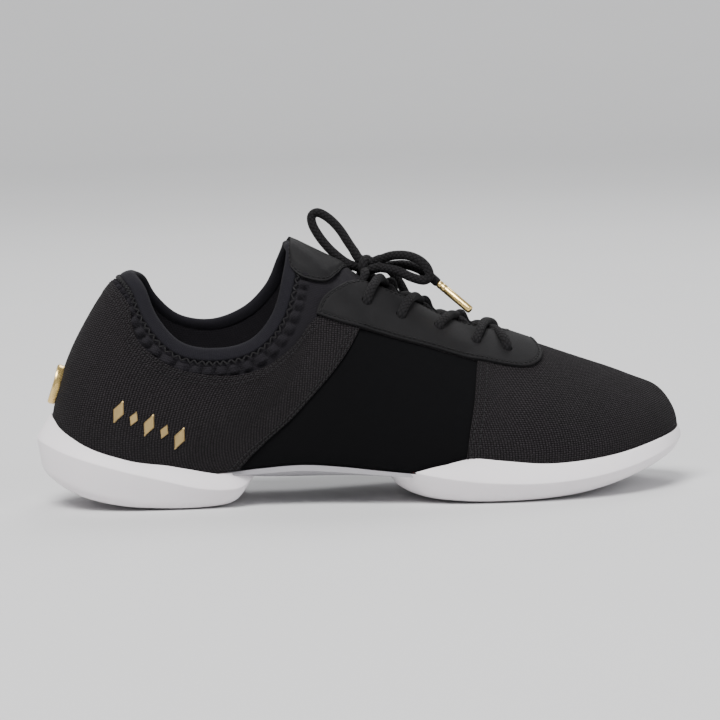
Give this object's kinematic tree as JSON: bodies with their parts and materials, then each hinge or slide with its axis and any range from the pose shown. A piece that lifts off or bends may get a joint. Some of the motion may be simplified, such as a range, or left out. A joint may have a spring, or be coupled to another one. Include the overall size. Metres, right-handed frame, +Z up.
{
  "type": "dance sneaker",
  "caption": "Low lace-up dance sneaker for the right foot: black canvas upper over a knitted sock collar, on a white sole split into heel and forefoot pods.",
  "frame": {"origin": "on the floor, at the middle of the shoe's length and width", "axes": "+X to the toe, +Z up, so -Y is the outer (lateral) side of this right shoe"},
  "size_m": [0.2828, 0.0969, 0.1243],
  "materials": {
    "canvas": "matte woven canvas",
    "knit": "matte stretch knit",
    "leather": "matte",
    "cotton": "matte braid",
    "foam": "satin white",
    "bridge_rubber": "matte",
    "insole_lining": "matte",
    "gold": "polished"
  },
  "bodies": {
    "root": {"heel_sole": "foam", "forefoot_sole": "foam", "arch_bridge": "bridge_rubber", "insole": "insole_lining", "upper": "canvas", "knit_sock": "knit", "eyestay": "leather", "tongue_tab": "leather", "heel_badge": "gold", "lace_cross_1": "cotton", "lace_cross_2": "cotton", "lace_cross_3": "cotton", "lace_cross_4": "cotton", "lace_knot": "cotton", "lace_loop_back": "cotton", "lace_loop_front": "cotton", "lace_end_out": "cotton", "lace_end_in": "cotton", "aglet_out": "gold", "aglet_in": "gold"}
  },
  "joints": []
}
